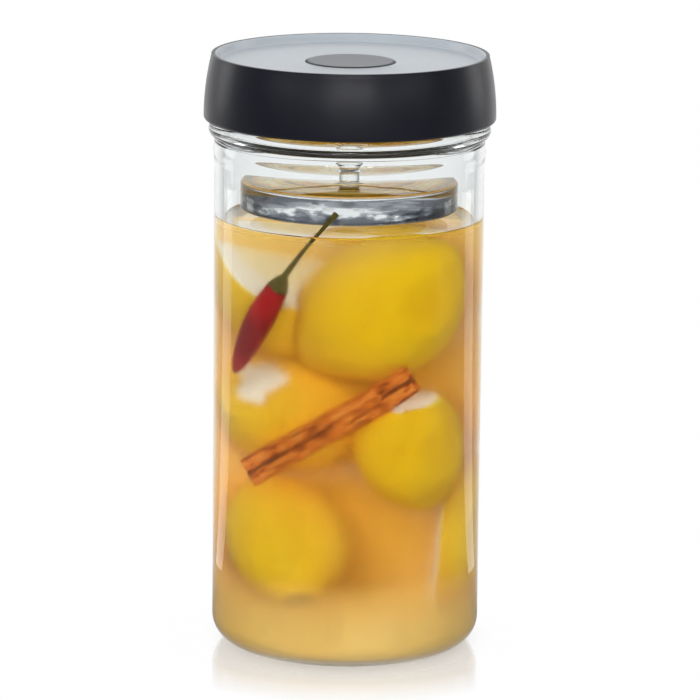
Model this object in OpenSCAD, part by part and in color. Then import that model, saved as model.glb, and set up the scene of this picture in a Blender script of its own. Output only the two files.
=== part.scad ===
// Fermentation jar: a glass jar with a screw lid, a spring vent button, a glass weight,
// and a filling of lemons, a chilli and a cinnamon stick in brine.
// Millimetres. +Z is up, the origin is on the table at the jar's axis, and the front faces -Y.

/* [Jar] */
// Height of the glass jar, from the table to its sealing rim
jar_h = 206; // [185:0.2:235]
// Outer diameter of the glass body
body_d = 96.8; // [92:0.2:110]
// Thickness of the glass wall
wall = 3.4; // [2.6:0.1:4.4]
// Thickness of the glass floor
floor_t = 3; // [2.6:0.1:8]
// Radius of the rounded heel
heel_r = 9.5; // [7:0.5:13]
// Rise of the middle of the base above the table
punt_h = 1; // [0.8:0.1:2.4]
// Width of the flat ring that the jar stands on
foot_w = 7.9; // [5:0.1:14]
// How far the threaded neck steps in from the body
neck_step = 3.5; // [2.6:0.1:5]
// How far the bead under the lid stands out from the neck
bead_out = 5.6; // [4.5:0.1:7]
// Height of the bead
bead_h = 5.8; // [4:0.2:8]
// Rise of the soft swelling below the bead
swell = 0.5; // [0.1:0.1:1]
// Rounding of the sealing rim's edges
rim_r = 1.1; // [0.6:0.1:1.4]

/* [Thread] */
// Rise of the lid in one turn
thread_lead = 12; // [9:0.5:15]
// Number of thread starts
thread_starts = 2; // [1:1:3]
// Height of the ridge above the neck
thread_depth = 1.3; // [0.9:0.1:1.6]
// Width of the ridge at its root
thread_w = 3; // [2:0.1:3.4]
// Width of the ridge at its crest
thread_crest = 1.2; // [0.6:0.1:1.6]
// Radial clearance between the two threads
thread_gap = 0.45; // [0.35:0.05:0.7]

/* [Lid] */
// Height of the lid
skirt_h = 23.6; // [21:0.1:28]
// Thickness of the cover at its lower edge
cover_t = 3.75; // [3.2:0.05:5]
// How far the cover leans in from its lower edge to its rim
cover_lean = 2.65; // [1:0.05:2.8]
// Width of the raised rim round the top plate
rim_w = 3.6; // [2.5:0.1:5]
// Depth of the top plate below the rim
recess_d = 2.9; // [0.6:0.1:3.6]
// Thickness of the top plate
plate_t = 2; // [1.4:0.1:3]
// Thickness of the liner's deck and of the well's floor
deck_t = 2.5; // [2:0.1:3.5]
// Thickness of the liner's threaded wall
liner_t = 1.7; // [1.2:0.1:2.2]
// Thickness of the silicone sealing ring
seal_t = 2; // [1.2:0.1:3]
// Gap between the lid and the bead
bead_gap = 0.4; // [0.3:0.1:1]
// Clearance between fixed pieces that slip together
fit = 0.15; // [0.1:0.05:0.25]

/* [Vent] */
// Diameter of the vent button
button_d = 31.5; // [26:0.5:38]
// Thickness of the button's cap
button_t = 2.6; // [2:0.1:3.4]
// Height of the button above the top plate
button_rise = 0.3; // [0.2:0.1:2]
// Height of the skirt under the button's cap
button_skirt = 3; // [2:0.1:3.6]
// Gap round the button
button_gap = 0.4; // [0.3:0.05:0.8]
// Depth of the well that holds the vent, below the top plate
well_d = 8.6; // [8:0.1:10]
// Diameter of the button's stem
stem_d = 6; // [5:0.1:7]
// Running clearance of the stem in its guide
stem_gap = 0.05; // [0.03:0.01:0.08]
// Wall of the stem's guide
guide_t = 2.15; // [1.6:0.05:2.6]
// Height of the stem's guide above the well's floor
guide_h = 2.2; // [1.8:0.1:2.4]
// Thickness of the valve's hub
hub_t = 2; // [1.6:0.1:2.2]
// Width of the valve's hub
hub_w = 2.4; // [1.8:0.1:3]
// Diameter of the valve's lip
lip_d = 26.4; // [24:0.2:28]
// Thickness of the valve's lip
lip_t = 0.7; // [0.5:0.1:1]
// Number of vent holes
vent_n = 6; // [3:1:8]
// Diameter of a vent hole
vent_d = 2.6; // [1.6:0.1:3]
// Thickness of the washers
washer_t = 0.7; // [0.5:0.1:1]
// Wire diameter of the return spring
spring_wire = 0.9; // [0.7:0.05:1]
// Turns of the return spring
spring_turns = 3; // [2.5:0.5:4]
// Thickness of the stem's seal
stem_seal_t = 1.6; // [1:0.1:2.4]
// Width of the stem's seal
stem_seal_w = 3.4; // [2.6:0.1:4.4]
// Depth of the groove for the retaining clip
groove_d = 0.6; // [0.4:0.05:0.9]

/* [Weight] */
// Clearance of the glass weight in the jar's mouth
weight_gap = 2.5; // [1.5:0.1:6]
// Thickness of the glass weight
weight_t = 10.6; // [8:0.2:13]
// Rounding of the weight's edges
weight_r = 1.4; // [1:0.1:3]
// Height of the weight's knob
knob_h = 13; // [10:0.2:15]
// Diameter of the knob's head
knob_d = 9.8; // [8.5:0.1:12]
// Diameter of the knob's neck
knob_neck_d = 7; // [5:0.1:8]
// Height of the air from the weight's underside to the sealing rim
headspace = 46; // [43:0.1:60]

/* [Filling] */
// Depth of the brine's surface below the weight
brine_drop = 2.8; // [1:0.1:6]
// Diameter of a lemon of size 1
lemon_d = 46; // [36:0.5:50]
// Length of a lemon of size 1
lemon_len = 61; // [50:0.5:66]
// Clearance between the pieces of the filling
food_gap = 0.3; // [0.2:0.05:0.5]
// Diameter of the chilli pod
chilli_d = 10.4; // [8:0.2:12]
// Diameter of the chilli's stem
chilli_stem_d = 2.2; // [1.6:0.1:2.8]
// Length of the cinnamon stick
cinnamon_len = 67; // [50:1:70]
// Diameter of each of the cinnamon stick's two rolls
cinnamon_d = 5.8; // [5:0.1:7]
// Thickness of the cinnamon bark
bark_t = 1.1; // [0.8:0.1:1.6]

/* [Hidden] */
$fn = 96;

// Jar radii
body_r = body_d / 2;
in_r = body_r - wall;
neck_r = body_r - neck_step;
mouth_r = neck_r - wall;
bead_r = neck_r + bead_out;
foot_r = body_r - heel_r - foot_w;
in_heel_r = heel_r - wall;

// Heights of the lid, which is stacked on the sealing rim
deck_z = jar_h + seal_t;
deck_top = deck_z + deck_t;
plate_top = deck_top + plate_t;
lid_top = plate_top + recess_d;
lid_bot = lid_top - skirt_h;

// Heights of the jar's neck, which follows the lid's skirt
bead_top = lid_bot - bead_gap;
bead_mid = bead_top - bead_h / 2;
swell_half = 4.2;
swell_gap = 0.6;
swell_z = bead_top - bead_h - swell_gap - swell_half;
shoulder_bot = swell_z;

// Lid radii, from the neck outwards
liner_in = neck_r + thread_depth + thread_gap;
liner_out = liner_in + liner_t;
cover_in = liner_out + fit;
cover_r = cover_in + cover_t;
rim_out = cover_r - cover_lean;
rim_in = rim_out - rim_w;
cover_edge = 1.2;
rim_edge = 0.7;
liner_lift = 0.6;

// Threads: the lid's ridge lies half a pitch from the jar's
pitch = thread_lead / thread_starts;
thread_step = 7.5;
thread_sink = 0.5;
run_out = 1;
jar_thread_z = bead_top + thread_w / 2 + run_out;
jar_thread_rise = jar_h - rim_r - thread_w / 2 - jar_thread_z;
lid_thread_z = max(lid_bot + liner_lift + thread_w / 2 + run_out, jar_thread_z - pitch / 2);
lid_thread_rise = jar_h - thread_w / 2 - run_out - lid_thread_z;
lid_thread_turn = (lid_thread_z - jar_thread_z - pitch / 2) / thread_lead * 360;

// Vent, from the well's floor to the button
button_r = button_d / 2;
button_wall = 1.75;
well_gap = 0.45;
well_r = button_r + button_gap + well_gap;
well_z = deck_top - well_d;
well_bot = well_z - deck_t;
stem_r = stem_d / 2;
guide_bore = stem_r + stem_gap;
guide_r = guide_bore + guide_t;
hub_r = guide_r + hub_w;
vent_ring_r = (hub_r + lip_d / 2) / 2;
button_top = plate_top + button_rise;
cap_z = button_top - button_t;
socket_h = 2;
socket_t = 2;
socket_r = stem_r + socket_t;
spring_z = well_z + hub_t + washer_t;
spring_gap = 0.6;
spring_r = guide_r + hub_w / 2 + spring_gap;
washer_lip = 1;
lip_w = 1;
stem_seal_z = well_bot - stem_seal_t;
seal_washer_z = stem_seal_z - washer_t;
clip_z = seal_washer_z - washer_t;
clip_w = 1.8;
clip_open = 1.6;
stem_tail = 1.6;
stem_bot = clip_z - stem_tail;
seal_step = 0.8;
// Length by which a cut runs past the faces that it goes through
over = 1;

// Weight and filling
weight_rad = mouth_r - weight_gap;
weight_z = jar_h - headspace;
knob_r = knob_d / 2;
knob_neck_r = knob_neck_d / 2;
knob_foot = 3;
knob_round = 2;
brine_z = weight_z - brine_drop;
brine_gap = 0.15;
fill_h = weight_z - floor_t;

// Each lemon: its place in shares of the inside (across, deep, up), its size, the tilt and
// turn of its long axis, and its cut as [tilt and turn of the cut's normal, share of the
// lemon's radius from its middle to the cut]. A cut share of 2 leaves the lemon whole.
LEMONS = [
  [[0.25, -0.40, 0.797], 1.06, 50, -12, [0, 0, 2]],
  [[0.456, -0.435, 0.476], 0.80, 14, 200, [12, 240, 0.95]],
  [[-0.40, -0.31, 0.245], 0.88, 138, 281, [0, 0, 2]],
  [[-0.33, -0.02, 0.538], 0.94, 68, 203, [52, 222, 0.90]],
  [[-0.45, -0.01, 0.847], 0.98, 24, 120, [35, 285, 0.30]],
  [[0.62, 0.02, 0.246], 0.96, 14, 30, [86, 195, 0.15]],
  [[0.38, 0.45, 0.867], 0.92, 80, 330, [0, 0, 2]],
  [[0.24, 0.50, 0.537], 0.94, 40, 100, [0, 0, 2]],
  [[-0.14, 0.52, 0.216], 0.92, 78, 150, [0, 0, 2]]
];
// How far a lemon's ends draw out, how sharply they do, and half the angle of their scars
lemon_tip = 0.12;
lemon_nose = 9;
lemon_scar = 6;

// Chilli: tip, calyx and stem end, as distance from the axis, bearing and height
chilli_tip_in = 4.4;
chilli_top_in = 5.6;
stem_end_up = 5;
chilli_tip = polar(in_r - chilli_tip_in, 205, floor_t + 0.635 * fill_h);
chilli_top = polar(in_r - chilli_top_in, 234, floor_t + 0.852 * fill_h);
chilli_end = polar((in_r + weight_rad) / 2, 264, weight_z + stem_end_up);
calyx_len = 5;
calyx_r = 0.32 * chilli_d;
calyx_shoulder = 0.86;
calyx_tip = 1.9;
pod_blunt = 0.8;
pod_sweep = 150;
pod_steps = 10;
pod_fullness = 0.7;

// Cinnamon stick: the middle of the stick, its tilt from upright and its turn
cinnamon_at = [-0.122 * in_r, -0.640 * in_r, floor_t + 0.53 * fill_h];
cinnamon_tilt = 56;
cinnamon_turn = -10;
roll_gap = 0.84;

// Points on an arc, given its centre, its radius, its two bearings and its number of steps
function arc(cx, cz, r, from, to, n) =
  [for (i = [0:n]) let (a = from + (to - from) * i / n) [cx + r * cos(a), cz + r * sin(a)]];

// Points on a soft step between two radii, as z goes from z0 to z1
function soft_step(r0, r1, z0, z1, n) =
  [for (i = [0:n]) [r0 + (r1 - r0) * (1 - cos(180 * i / n)) / 2, z0 + (z1 - z0) * i / n]];

// A point given by its distance from the axis, its bearing and its height
function polar(r, bearing, z) = [r * cos(bearing), r * sin(bearing), z];

// A lemon's outline, grown by a clearance, with a small flat scar at each end
function lemon_outline(length, d, grow) =
  let (
    half = length / 2 / (1 + lemon_tip) + grow,
    r = d / 2 + grow,
    side = [for (t = [lemon_scar:12:180 - lemon_scar])
      [r * sin(t), -half * cos(t) * (1 + lemon_tip * pow(abs(cos(t)), lemon_nose))]]
  )
  concat([[0, side[0].y]], side, [[0, side[len(side) - 1].y]]);

// Faces of a tube of rings, each ring having the same number of sides
function tube_faces(rings, sides) = concat(
  [[for (k = [sides - 1:-1:0]) k]],
  [for (i = [0:rings - 2]) for (k = [0:sides - 1])
    [i * sides + k, i * sides + (k + 1) % sides, (i + 1) * sides + k]],
  [for (i = [0:rings - 2]) for (k = [0:sides - 1])
    [(i + 1) * sides + k, i * sides + (k + 1) % sides, (i + 1) * sides + (k + 1) % sides]],
  [[for (k = [0:sides - 1]) (rings - 1) * sides + k]]
);

// Carries its children from the Z axis to a line from p towards q, with their seams turned
// out of the line's upright plane
module along(p, q) {
  d = q - p;
  translate(p) rotate([0, acos(d.z / norm(d)), atan2(d.y, d.x)]) rotate(45) children();
}

// One helical ridge, from a wall of radius r, standing out by depth, which is negative inwards
module ridge(r, depth, z, rise, bearing) {
  steps = floor(rise / thread_lead * 360 / thread_step);
  sink = depth > 0 ? -thread_sink : thread_sink;
  points = [for (i = [0:steps]) let (
      a = bearing + i * thread_step,
      mid = z + i * thread_step / 360 * thread_lead,
      k = min(1, (i + 1) / 4, (steps - i + 1) / 4),
      root = r + sink,
      crest = r + depth * k
    ) each [
      polar(root, a, mid - thread_w / 2), polar(crest, a, mid - thread_crest / 2),
      polar(crest, a, mid + thread_crest / 2), polar(root, a, mid + thread_w / 2)
    ]];
  faces = tube_faces(steps + 1, 4);
  polyhedron(points, depth > 0 ? faces : [for (f = faces) [for (k = [len(f) - 1:-1:0]) f[k]]]);
}

module thread(r, depth, z, rise, bearing) {
  for (s = [0:thread_starts - 1]) ridge(r, depth, z, rise, bearing + s * 360 / thread_starts);
}

// The jar's inside, drawn in by inset, from its floor up to a height
module inside(inset, top) {
  r = in_r - inset;
  heel = in_heel_r;
  rotate_extrude() polygon(concat(
    [[0, floor_t + inset]],
    arc(r - heel, floor_t + inset + heel, heel, -90, 0, 8),
    [[r, top], [0, top]]
  ));
}

module glass_jar() {
  color("lightcyan", 0.4) union() {
    rotate_extrude() polygon(concat(
      [[0, punt_h]],
      [for (i = [1:6]) [foot_r * i / 6, punt_h * (1 + cos(36 * (i - 1))) / 2]],
      arc(body_r - heel_r, heel_r, heel_r, -90, 0, 10),
      [for (i = [0:12]) [
        body_r + swell * (1 - cos(30 * i)) / 2,
        swell_z + swell_half * (i - 6) / 6]],
      arc(bead_r - bead_h / 2, bead_mid, bead_h / 2, -75, 90, 14),
      [[neck_r, bead_top]],
      arc(neck_r - rim_r, jar_h - rim_r, rim_r, 0, 90, 6),
      arc(mouth_r + rim_r, jar_h - rim_r, rim_r, 90, 180, 6),
      soft_step(mouth_r, in_r, bead_top, shoulder_bot, 12),
      arc(in_r - in_heel_r, floor_t + in_heel_r, in_heel_r, 0, -90, 8),
      [[0, floor_t]]
    ));
    thread(neck_r, thread_depth, jar_thread_z, jar_thread_rise, 0);
  }
}

// A lemon in its place, grown by a clearance, before its neighbours and the glass press on it
module lemon_shape(i, grow) {
  place = LEMONS[i][0];
  size = LEMONS[i][1];
  cut = LEMONS[i][4];
  reach = lemon_len;
  translate([place.x * in_r, place.y * in_r, floor_t + place.z * fill_h]) difference() {
    rotate([0, LEMONS[i][2], LEMONS[i][3]])
      rotate_extrude() polygon(lemon_outline(lemon_len * size, lemon_d * size, grow));
    if (cut[2] < 1)
      rotate([0, cut[0], cut[1]])
        translate([-reach, -reach, cut[2] * lemon_d / 2 * size + grow])
          cube([2 * reach, 2 * reach, reach]);
  }
}

// A lemon as it lies, inside the glass, under the weight and beside the lemons before it
module lemon(i) {
  color("gold") difference() {
    intersection() {
      lemon_shape(i, 0);
      inside(food_gap, weight_z - food_gap);
    }
    for (j = [0:1:i - 1]) lemon_shape(j, food_gap);
    cinnamon_shape(food_gap);
    pod_shape(food_gap);
    stem_shape(food_gap);
  }
}

// The pod's outline along its length, from a blunt tip to a shoulder under the calyx
module pod_shape(grow) {
  pod_len = norm(chilli_top - chilli_tip);
  r = chilli_d / 2 - pod_blunt;
  full = pod_len + 2 * grow;
  along(chilli_tip, chilli_top) translate([0, 0, -grow]) rotate_extrude() polygon(concat(
    [[0, 0]],
    [for (i = [0:pod_steps]) let (s = i / pod_steps)
      [pod_blunt + r * pow(sin(pod_sweep * s), pod_fullness) + grow, full * s]],
    [[0, full]]
  ));
}

module chilli_pod() {
  color("firebrick") intersection() {
    pod_shape(0);
    inside(food_gap, weight_z);
  }
}

// The calyx caps the pod, and the stem runs up between the weight and the glass
module stem_shape(grow) {
  pod_len = norm(chilli_top - chilli_tip);
  twig_r = chilli_stem_d / 2 + grow;
  along(chilli_tip, chilli_top) translate([0, 0, pod_len - grow]) rotate_extrude() polygon([
    [0, 0], [calyx_r + grow, 0], [calyx_r * calyx_shoulder + grow, calyx_len / 2 + grow],
    [twig_r * calyx_tip, calyx_len + 2 * grow], [0, calyx_len + 2 * grow]
  ]);
  foot = chilli_top + (chilli_top - chilli_tip) / pod_len * calyx_len / 2;
  along(foot, chilli_end) cylinder(h = norm(chilli_end - foot) + grow, r = twig_r);
}

module chilli_stem() {
  color("olive") stem_shape(0);
}

// Two rolls of bark side by side, grown by a clearance, as solid rods
module cinnamon_shape(grow) {
  roll_r = cinnamon_d / 2;
  translate(cinnamon_at) rotate([0, cinnamon_tilt, cinnamon_turn])
    translate([0, 0, -cinnamon_len / 2 - grow])
      for (side = [-1, 1])
        translate([side * roll_r * roll_gap, 0, 0])
          cylinder(h = cinnamon_len + 2 * grow, r = roll_r + grow);
}

module cinnamon_stick() {
  roll_r = cinnamon_d / 2;
  color("sienna") difference() {
    cinnamon_shape(0);
    translate(cinnamon_at) rotate([0, cinnamon_tilt, cinnamon_turn])
      translate([0, 0, -cinnamon_len])
        for (side = [-1, 1])
          translate([side * roll_r * roll_gap, 0, 0])
            cylinder(h = 2 * cinnamon_len, r = roll_r - bark_t);
  }
}

module brine() {
  color("goldenrod", 0.5) difference() {
    inside(brine_gap, brine_z);
    for (i = [0:len(LEMONS) - 1]) lemon_shape(i, food_gap);
    cinnamon_shape(food_gap);
    pod_shape(food_gap);
    stem_shape(food_gap);
  }
}

module glass_weight() {
  top = weight_z + weight_t;
  head_z = top + knob_h - knob_round;
  color("azure", 0.5) rotate_extrude() polygon(concat(
    [[0, weight_z]],
    arc(weight_rad - weight_r, weight_z + weight_r, weight_r, -90, 0, 5),
    arc(weight_rad - weight_r, top - weight_r, weight_r, 0, 90, 5),
    arc(knob_neck_r + knob_foot, top + knob_foot, knob_foot, 270, 180, 5),
    soft_step(knob_neck_r, knob_r, top + knob_foot + over, head_z - over, 6),
    arc(knob_r - knob_round, head_z, knob_round, 0, 90, 5),
    [[0, top + knob_h]]
  ));
}

module sealing_ring() {
  color("gainsboro") difference() {
    translate([0, 0, jar_h]) cylinder(h = seal_t, r = liner_in - 2 * fit);
    translate([0, 0, jar_h - over]) cylinder(h = seal_t + 2 * over, r = mouth_r - 2 * fit);
  }
}

module lid_cover() {
  lean_z = lid_bot + cover_edge;
  lean_h = lid_top - rim_edge - lean_z;
  color([0.12, 0.12, 0.14]) rotate_extrude() polygon(concat(
    [[cover_in, lid_bot]],
    arc(cover_r - cover_edge, lean_z, cover_edge, -90, 0, 5),
    [for (i = [1:10]) [cover_r - cover_lean * pow(i / 10, 2), lean_z + lean_h * i / 10]],
    arc(rim_out - rim_edge, lid_top - rim_edge, rim_edge, 15, 90, 4),
    arc(rim_in + rim_edge, lid_top - rim_edge, rim_edge, 90, 180, 4),
    [[rim_in, deck_top], [cover_in, deck_top]]
  ));
}

module lid_liner() {
  well_out = well_r + liner_t;
  color([0.2, 0.2, 0.22]) union() {
    difference() {
      rotate_extrude() polygon([
        [guide_bore, well_bot], [well_out, well_bot], [well_out, deck_z], [liner_in, deck_z],
        [liner_in, lid_bot + liner_lift], [liner_out, lid_bot + liner_lift],
        [liner_out, deck_top], [well_r, deck_top], [well_r, well_z], [guide_r, well_z],
        [guide_r, well_z + guide_h], [guide_bore, well_z + guide_h]
      ]);
      for (k = [0:vent_n - 1])
        rotate([0, 0, k * 360 / vent_n]) translate([vent_ring_r, 0, well_bot - over])
          cylinder(h = deck_t + 2 * over, d = vent_d);
    }
    thread(liner_in, -thread_depth, lid_thread_z, lid_thread_rise, lid_thread_turn);
  }
}

module top_plate() {
  color([0.42, 0.43, 0.45]) difference() {
    translate([0, 0, deck_top]) cylinder(h = plate_t, r = rim_in - fit);
    translate([0, 0, deck_top - over])
      cylinder(h = plate_t + 2 * over, r = button_r + button_gap);
  }
}

// A silicone valve whose soft lip lies on the well's floor, outside the vent holes
module umbrella_valve() {
  lip_r = lip_d / 2;
  lip_foot = lip_r - lip_w;
  arch = hub_t - lip_t;
  color("whitesmoke") rotate_extrude() polygon(concat(
    [[guide_r + fit, well_z], [hub_r, well_z], [hub_r, well_z + arch]],
    [for (t = [0:15:75]) [hub_r + (lip_foot - hub_r) * sin(t), well_z + arch * cos(t)]],
    [[lip_foot, well_z], [lip_r, well_z], [lip_r, well_z + lip_t]],
    [for (t = [75:-15:0]) [hub_r + (lip_r - hub_r) * sin(t), well_z + lip_t + arch * cos(t)]],
    [[guide_r + fit, well_z + hub_t]]
  ));
}

module spring_washer() {
  color("silver") difference() {
    translate([0, 0, well_z + hub_t]) cylinder(h = washer_t, r = hub_r + washer_lip);
    translate([0, 0, well_z + hub_t - over])
      cylinder(h = washer_t + 2 * over, r = guide_r + fit);
  }
}

// One unbroken coil from the washer to the underside of the cap
module return_spring() {
  sides = 6;
  wire_r = spring_wire / 2;
  rings = ceil(spring_turns * 16) + 1;
  low = spring_z + wire_r;
  rise = cap_z - spring_z - spring_wire;
  echo(spring_gap_mm = rise / spring_turns - spring_wire);
  points = [for (i = [0:rings - 1]) for (k = [0:sides - 1]) let (a = k * 360 / sides)
    polar(
      spring_r + wire_r * cos(a), i / (rings - 1) * spring_turns * 360,
      low + rise * i / (rings - 1) + wire_r * sin(a))];
  color("lightgrey") polyhedron(points, tube_faces(rings, sides));
}

module vent_button() {
  color([0.3, 0.31, 0.33]) difference() {
    union() {
      rotate_extrude() polygon(concat(
        [[0, cap_z], [button_r - button_wall, cap_z],
        [button_r - button_wall, cap_z - button_skirt], [button_r, cap_z - button_skirt]],
        arc(button_r - rim_edge, button_top - rim_edge, rim_edge, 0, 90, 4),
        [[0, button_top]]
      ));
      translate([0, 0, cap_z - socket_h]) cylinder(h = socket_h + button_t / 2, r = socket_r);
    }
    translate([0, 0, cap_z - socket_h - over])
      cylinder(h = socket_h + over, r = stem_r + stem_gap);
  }
}

module button_stem() {
  color("silver") difference() {
    translate([0, 0, stem_bot]) cylinder(h = cap_z - stem_bot, r = stem_r);
    difference() {
      translate([0, 0, clip_z]) cylinder(h = washer_t, r = stem_r + over);
      translate([0, 0, clip_z - over]) cylinder(h = washer_t + 2 * over, r = stem_r - groove_d);
    }
  }
}

module stem_seal() {
  color("whitesmoke") difference() {
    translate([0, 0, stem_seal_z]) cylinder(h = stem_seal_t, r = stem_r + stem_seal_w);
    translate([0, 0, stem_seal_z - over])
      cylinder(h = stem_seal_t + 2 * over, r = stem_r + stem_gap);
  }
}

module seal_washer() {
  color("silver") difference() {
    translate([0, 0, seal_washer_z])
      cylinder(h = washer_t, r = stem_r + stem_seal_w - seal_step);
    translate([0, 0, seal_washer_z - over])
      cylinder(h = washer_t + 2 * over, r = stem_r + stem_gap);
  }
}

// A flat clip with an open side, which snaps into the stem's groove
module retaining_clip() {
  bore = stem_r - groove_d + stem_gap;
  mouth = clip_open * bore;
  color("dimgray") difference() {
    translate([0, 0, clip_z]) cylinder(h = washer_t, r = stem_r + clip_w);
    translate([0, 0, clip_z - over]) cylinder(h = washer_t + 2 * over, r = bore);
    translate([0, -mouth / 2, clip_z - over]) cube([2 * stem_d, mouth, washer_t + 2 * over]);
  }
}

glass_jar();
brine();
lemon(0);  // lemon_upper_right
lemon(1);  // lemon_middle_right
lemon(2);  // lemon_lower_left
lemon(3);  // lemon_middle_left
lemon(4);  // lemon_upper_left
lemon(5);  // lemon_lower_right
lemon(6);  // lemon_upper_back
lemon(7);  // lemon_middle_back
lemon(8);  // lemon_lower_back
chilli_pod();
chilli_stem();
cinnamon_stick();
glass_weight();
sealing_ring();
lid_cover();
lid_liner();
top_plate();
umbrella_valve();
spring_washer();
return_spring();
vent_button();
button_stem();
stem_seal();
seal_washer();
retaining_clip();
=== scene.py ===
"""Looks of the fermentation jar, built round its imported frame."""

import math

import bmesh
import bpy
import numpy as np
from mathutils import Matrix, Vector
from mathutils.noise import noise as hash_noise


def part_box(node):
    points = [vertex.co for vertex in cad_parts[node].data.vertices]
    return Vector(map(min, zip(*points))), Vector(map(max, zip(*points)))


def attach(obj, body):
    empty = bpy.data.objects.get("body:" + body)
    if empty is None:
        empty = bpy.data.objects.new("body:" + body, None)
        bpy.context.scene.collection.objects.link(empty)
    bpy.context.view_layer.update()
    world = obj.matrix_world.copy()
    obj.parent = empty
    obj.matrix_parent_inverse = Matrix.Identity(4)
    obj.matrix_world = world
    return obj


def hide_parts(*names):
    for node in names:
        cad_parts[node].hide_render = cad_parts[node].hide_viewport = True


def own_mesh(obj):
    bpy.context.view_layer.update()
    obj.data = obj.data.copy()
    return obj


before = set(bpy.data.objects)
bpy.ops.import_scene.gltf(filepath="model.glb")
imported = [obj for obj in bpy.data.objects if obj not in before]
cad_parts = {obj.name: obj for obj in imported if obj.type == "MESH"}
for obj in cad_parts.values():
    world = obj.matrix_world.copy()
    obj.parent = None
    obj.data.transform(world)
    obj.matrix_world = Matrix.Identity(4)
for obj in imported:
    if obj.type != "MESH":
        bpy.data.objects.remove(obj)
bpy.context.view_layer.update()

# Sizes in millimetres: those that a node's box gives come from the frame
MM = 0.001
TINY = 1e-6


def box_mm(node):
    low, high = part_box(node)
    return [c / MM for c in low], [c / MM for c in high]


# Jar
BODY_R = 48.4
WALL = 3.4
IN_R = BODY_R - WALL
FLOOR_T = 3.0
HEEL_R = 9.5
IN_HEEL_R = HEEL_R - WALL
FOOT_R = 31.0
PUNT_H = 1.0
NECK_R = 44.9
MOUTH_R = NECK_R - WALL
RIM_R = 1.1
BEAD_H = 5.8
BEAD_GAP = 0.4
SWELL = 0.5
SWELL_HALF = 4.2
SWELL_GAP = 0.6
THREAD_LEAD = 12.0
THREAD_STARTS = 2
THREAD_DEPTH = 1.3
THREAD_W = 3.0
THREAD_CREST = 1.2
THREAD_RUN_OUT = 1.0
JAR_H = box_mm("glass_jar")[1][2]
BEAD_R = box_mm("glass_jar")[1][0]

# Lid and button
LID_BOT = box_mm("lid_cover")[0][2]
LID_TOP = box_mm("lid_cover")[1][2]
COVER_R = box_mm("lid_cover")[1][0]
COVER_LEAN = 2.65
COVER_EDGE = 1.2
COVER_SIDE = 3.75
COVER_IN = COVER_R - COVER_SIDE
RIM_W = 3.6
RIM_EDGE = 0.7
RIM_SHARP = 0.3
RIM_FLAT = 1.2
RIM_DARK = 1.5
RIM_SLACK = 0.1
PLATE_Z = box_mm("top_plate")[0][2]
PLATE_TOP = box_mm("top_plate")[1][2]
PLATE_R = box_mm("top_plate")[1][0]
PLATE_EDGE = 0.3
PLATE_SEAM = 0.13
BUTTON_BOT = box_mm("vent_button")[0][2]
BUTTON_TOP = box_mm("vent_button")[1][2]
BUTTON_R = box_mm("vent_button")[1][0]
BUTTON_GAP = 0.4
BUTTON_T = 2.6
BUTTON_WALL = 1.75

# Weight
WEIGHT_Z = box_mm("glass_weight")[0][2]
WEIGHT_H = 10.6
WEIGHT_TOP = WEIGHT_Z + WEIGHT_H
WEIGHT_RAD = box_mm("glass_weight")[1][0]
WEIGHT_ROUND = 1.4
KNOB_TOP = box_mm("glass_weight")[1][2]
KNOB_R = 4.9
KNOB_NECK_R = 3.5
KNOB_FOOT = 3.0
KNOB_ROUND = 2.0

# Brine and the cloud in it
BRINE_Z = box_mm("brine")[1][2]
FILL_H = WEIGHT_Z - FLOOR_T
WET = 0.06
MENISCUS = 1.0
MENISCUS_W = 2.4
CLOUD_R = 44.0
CLOUD_FADE = 38.0
CLOUD_FOOT = 0.6
CLOUD_HEAD = 1.5
SEDIMENT_IN = 0.7
SEDIMENT_FULL = 8.0
SEDIMENT_TOP = 34.0


# Outlines and meshes
STEPS = 192


def arc(cx, cz, r, start, end, n):
    angles = [math.radians(start + (end - start) * i / n) for i in range(n + 1)]
    return [(cx + r * math.cos(a), cz + r * math.sin(a)) for a in angles]


def shares(n):
    """Even steps from 0 to 1."""
    return [i / n for i in range(n + 1)]


def ease(s):
    """A share that starts and ends softly."""
    return (1 - math.cos(math.pi * s)) / 2


def soft_step(r0, r1, z0, z1, n):
    return [(r0 + (r1 - r0) * ease(s), z0 + (z1 - z0) * s) for s in shares(n)]


def add_mesh(name, verts, faces, mat, sharp=35):
    """A shown mesh with outward faces, smooth apart from its sharp edges."""
    mesh = bpy.data.meshes.new(name)
    mesh.from_pydata([tuple(v) for v in verts], [], faces)
    shape = bmesh.new()
    shape.from_mesh(mesh)
    bmesh.ops.recalc_face_normals(shape, faces=shape.faces)
    shape.to_mesh(mesh)
    shape.free()
    mesh.polygons.foreach_set("use_smooth", [True] * len(mesh.polygons))
    mesh.set_sharp_from_angle(angle=math.radians(sharp))
    mesh.materials.append(mat)
    obj = bpy.data.objects.new(name, mesh)
    bpy.context.scene.collection.objects.link(obj)
    return obj


def lathe(name, outline, mat, steps=STEPS, shift=None):
    """A mesh turned about the Z axis, from (radius, height) points. A ring's outline closes on itself."""
    verts = []
    rings = []
    for r, z in outline:
        first = len(verts)
        if r < TINY:
            verts.append((0, 0, z * MM))
            rings.append([first] * steps)
            continue
        for k in range(steps):
            a = 2 * math.pi * k / steps
            reach = (r + (shift(a, r, z) if shift else 0)) * MM
            verts.append((reach * math.cos(a), reach * math.sin(a), z * MM))
        rings.append(list(range(first, first + steps)))
    pairs = list(zip(rings, rings[1:]))
    if outline[0][0] > TINY:
        pairs.append((rings[-1], rings[0]))
    faces = []
    for low, high in pairs:
        for k in range(steps):
            n = (k + 1) % steps
            corners = list(dict.fromkeys([low[k], low[n], high[n], high[k]]))
            if len(corners) > 2:
                faces.append(corners)
    return add_mesh(name, verts, faces, mat)


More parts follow.
